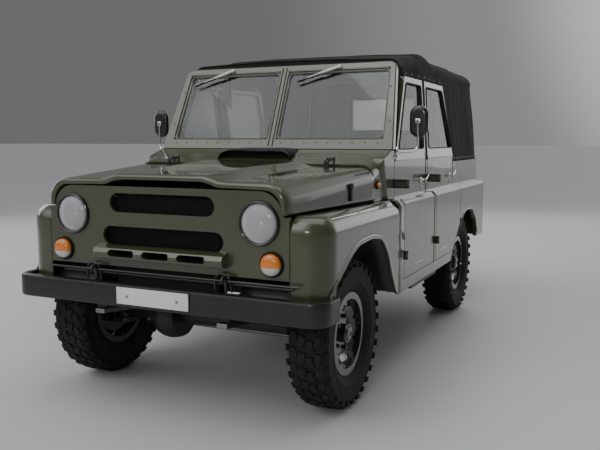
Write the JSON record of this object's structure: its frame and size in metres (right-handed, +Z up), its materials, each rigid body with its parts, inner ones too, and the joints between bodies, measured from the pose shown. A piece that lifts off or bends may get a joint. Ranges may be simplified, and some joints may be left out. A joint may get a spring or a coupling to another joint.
{
  "type": "army 4x4 car",
  "caption": "Open-framed light army field car with side doors, canvas hood, front mudguards, hinged bonnet and a swing-out spare wheel.",
  "frame": {"origin": "centre of the overall box, on the ground", "axes": "+X to the car's left, -Y to the front, +Z up"},
  "size_m": [1.934, 4.025, 1.9569],
  "materials": {
    "army_green": "gloss olive green paint",
    "black_frame": "satin black chassis paint",
    "black_steel": "gloss black paint",
    "wheel_steel": "dark gloss wheel paint",
    "tyre_rubber": "black tread rubber",
    "grey_iron": "oily grey iron",
    "alloy": "dull cast alloy",
    "bare_steel": "worn steel",
    "clear_glass": "clear with a faint grey tint",
    "lamp_glass": "clear lamp glass",
    "canvas_black": "matt black canvas",
    "seat_vinyl": "grained dark vinyl",
    "black_plastic": "matt black plastic",
    "chrome_trim": "polished chrome"
  },
  "bodies": {
    "chassis": {"chassis_frame": "black_frame", "leaf_springs": "bare_steel", "axles": "black_frame", "driveshafts": "bare_steel", "engine_and_gearbox": "grey_iron", "radiator": "alloy", "fuel_tanks": "black_frame", "exhaust": "bare_steel", "body_tub": "army_green", "outer_sills": "army_green", "cowl": "army_green", "cowl_vent": "black_plastic", "rear_quarters": "army_green", "front_wings": "army_green", "grille_panel": "army_green", "windscreen_frame": "army_green", "windscreen_glass": "clear_glass", "wipers": "chrome_trim", "hinge_brackets": "black_steel", "tailgate": "army_green", "soft_top": "canvas_black", "top_bows": "black_frame", "seat_frames": "black_frame", "seat_cushions": "seat_vinyl", "dashboard": "black_plastic", "bumpers": "black_steel", "lamps": "lamp_glass"},
    "knuckle_left": {"knuckle_left": "black_frame"},
    "knuckle_right": {"knuckle_right": "black_frame"},
    "tie_rod": {"tie_rod": "bare_steel"},
    "steering_wheel": {"steering_wheel": "black_plastic"},
    "bonnet": {"bonnet": "army_green"},
    "spare_carrier": {"spare_carrier": "black_steel", "spare_rim": "wheel_steel", "spare_tyre": "tyre_rubber"},
    "wheel_front_left": {"tyre_front_left": "tyre_rubber", "rim_front_left": "wheel_steel"},
    "wheel_front_right": {"tyre_front_right": "tyre_rubber", "rim_front_right": "wheel_steel"},
    "wheel_rear_left": {"tyre_rear_left": "tyre_rubber", "rim_rear_left": "wheel_steel"},
    "wheel_rear_right": {"tyre_rear_right": "tyre_rubber", "rim_rear_right": "wheel_steel"},
    "front_door_left": {"front_door_left": "army_green", "front_door_left_glass": "clear_glass", "mirror_left": "black_plastic"},
    "front_door_right": {"front_door_right": "army_green", "front_door_right_glass": "clear_glass", "mirror_right": "black_plastic"},
    "rear_door_left": {"rear_door_left": "army_green", "rear_door_left_glass": "clear_glass"},
    "rear_door_right": {"rear_door_right": "army_green", "rear_door_right_glass": "clear_glass"}
  },
  "joints": [
    {"name": "steer_left", "type": "hinge", "parent": "chassis", "child": "knuckle_left", "pos_m": [0.61, -1.448, 0.38], "axis": [0, 0, 1], "range_deg": [-28, 28]},
    {"name": "steer_right", "type": "hinge", "parent": "chassis", "child": "knuckle_right", "pos_m": [-0.61, -1.448, 0.38], "axis": [0, 0, 1], "range_deg": [-28, 28]},
    {"name": "tie_rod_slide", "type": "slide", "parent": "chassis", "child": "tie_rod", "axis": [1, 0, 0], "range_m": [-0.08, 0.08]},
    {"name": "steering_wheel_turn", "type": "hinge", "parent": "chassis", "child": "steering_wheel", "pos_m": [0.39, -0.463, 1.165], "axis": [0, 0.848, 0.5299], "range_deg": [-565, 565]},
    {"name": "spin_front_left", "type": "hinge", "parent": "knuckle_left", "child": "wheel_front_left", "pos_m": [0.721, -1.448, 0.38], "axis": [1, 0, 0], "continuous": true},
    {"name": "spin_front_right", "type": "hinge", "parent": "knuckle_right", "child": "wheel_front_right", "pos_m": [-0.721, -1.448, 0.38], "axis": [1, 0, 0], "continuous": true},
    {"name": "spin_rear_left", "type": "hinge", "parent": "chassis", "child": "wheel_rear_left", "pos_m": [0.721, 0.932, 0.38], "axis": [1, 0, 0], "continuous": true},
    {"name": "spin_rear_right", "type": "hinge", "parent": "chassis", "child": "wheel_rear_right", "pos_m": [-0.721, 0.932, 0.38], "axis": [1, 0, 0], "continuous": true},
    {"name": "front_door_left_hinge", "type": "hinge", "parent": "chassis", "child": "front_door_left", "pos_m": [0.884, -0.76, 0.9], "axis": [0, 0, -1], "range_deg": [0, 65]},
    {"name": "front_door_right_hinge", "type": "hinge", "parent": "chassis", "child": "front_door_right", "pos_m": [-0.884, -0.76, 0.9], "axis": [0, 0, 1], "range_deg": [0, 65]},
    {"name": "rear_door_left_hinge", "type": "hinge", "parent": "chassis", "child": "rear_door_left", "pos_m": [0.884, -0.032, 0.9], "axis": [0, 0, -1], "range_deg": [0, 65]},
    {"name": "rear_door_right_hinge", "type": "hinge", "parent": "chassis", "child": "rear_door_right", "pos_m": [-0.884, -0.032, 0.9], "axis": [0, 0, 1], "range_deg": [0, 65]},
    {"name": "bonnet_hinge", "type": "hinge", "parent": "chassis", "child": "bonnet", "pos_m": [0, -1.042, 1.254], "axis": [-1, 0, 0], "range_deg": [0, 58]},
    {"name": "spare_carrier_hinge", "type": "hinge", "parent": "chassis", "child": "spare_carrier", "pos_m": [-0.64, 1.696, 0.905], "axis": [0, 0, 1], "range_deg": [0, 105]}
  ],
  "couplings": [
    {"joint": "steer_right", "follows": "steer_left", "ratio": 1},
    {"joint": "tie_rod_slide", "follows": "steer_left", "m_per_rad": -0.158},
    {"joint": "steering_wheel_turn", "follows": "steer_left", "ratio": 20}
  ]
}
